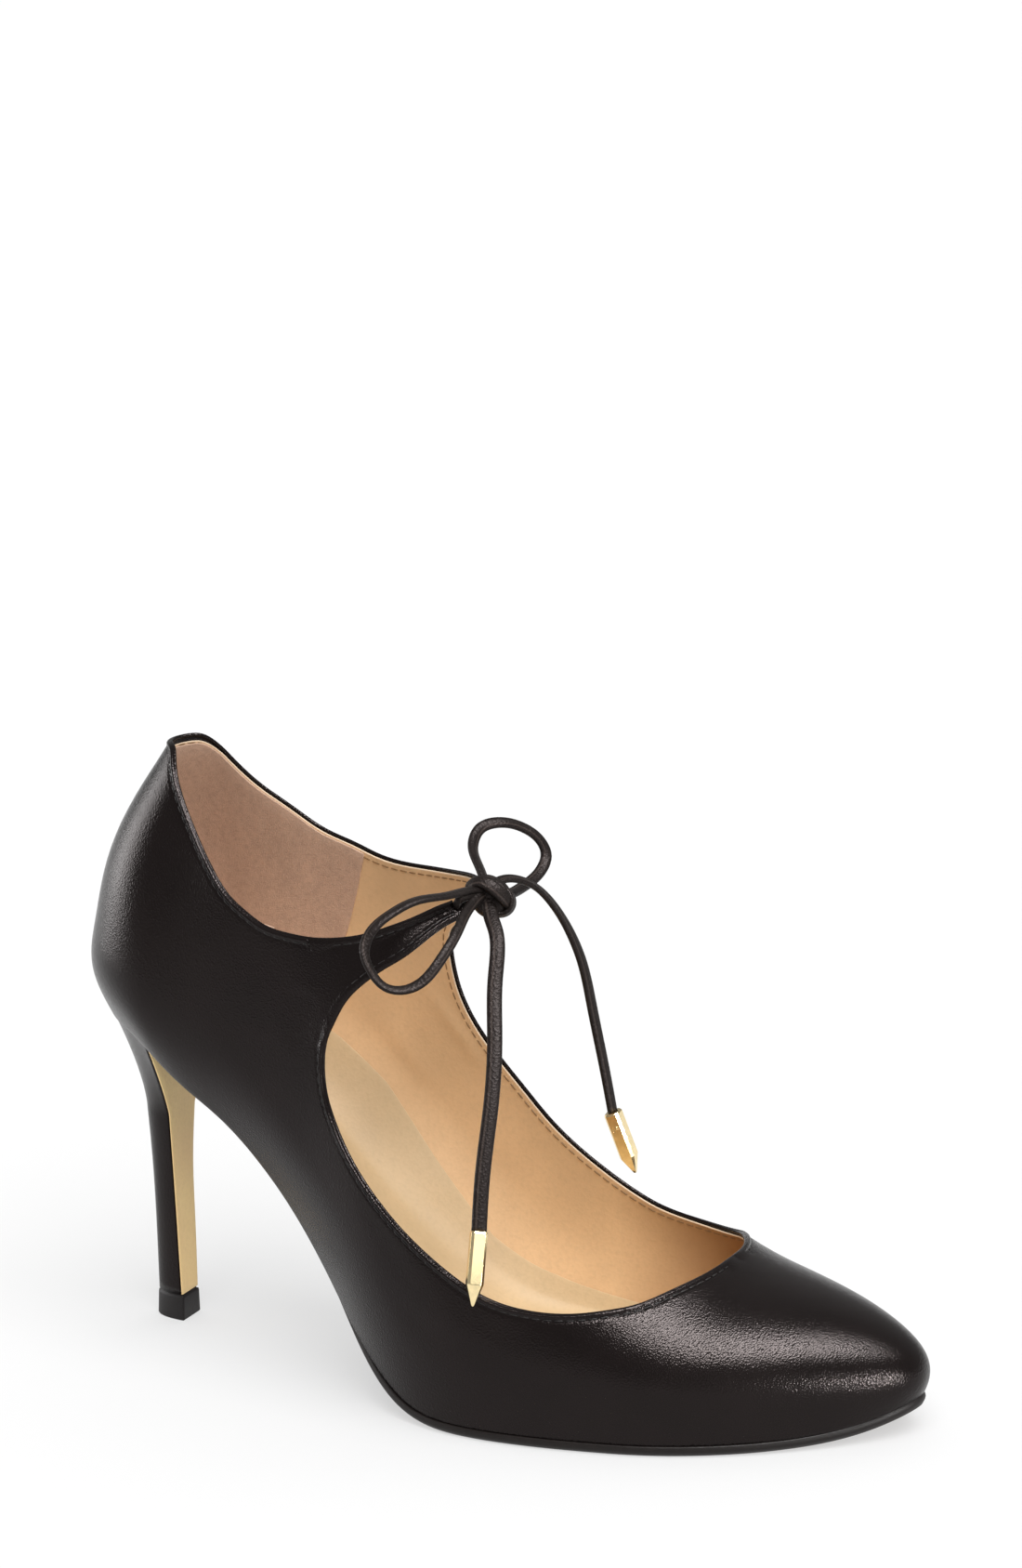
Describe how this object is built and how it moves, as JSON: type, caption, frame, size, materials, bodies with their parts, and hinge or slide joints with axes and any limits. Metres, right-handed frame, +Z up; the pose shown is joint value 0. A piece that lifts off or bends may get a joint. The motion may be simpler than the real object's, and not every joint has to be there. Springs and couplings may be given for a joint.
{
  "type": "mary jane pump",
  "caption": "Pointed high-heeled leather pump with a deep open throat, tabs that meet over the instep, and a leather cord tied in a bow with metal-tipped ends.",
  "frame": {"origin": "on the floor under the middle of the shoe's box, the bow and its hanging ends not counted", "axes": "+X from heel to toe, +Y towards the inner side of the foot, +Z up"},
  "size_m": [0.2186, 0.0881, 0.1494],
  "materials": {
    "black_leather": "smooth calf with a soft sheen",
    "tan_leather": "undyed lining leather, matt",
    "sole_leather": "dark waxed sole edge",
    "lift_rubber": "matt black",
    "cord_leather": "round leather cord, soft sheen",
    "gilt_metal": "polished gilt"
  },
  "bodies": {
    "root": {"upper": "black_leather", "insole": "tan_leather", "outsole": "sole_leather", "heel": "black_leather", "heel_breast": "tan_leather", "top_lift": "lift_rubber", "lace_bar": "cord_leather", "lace_knot": "cord_leather", "lace_loop_near": "cord_leather", "lace_loop_far": "cord_leather", "lace_end_near": "cord_leather", "lace_end_far": "cord_leather", "aglet_near": "gilt_metal", "aglet_far": "gilt_metal"}
  },
  "joints": []
}
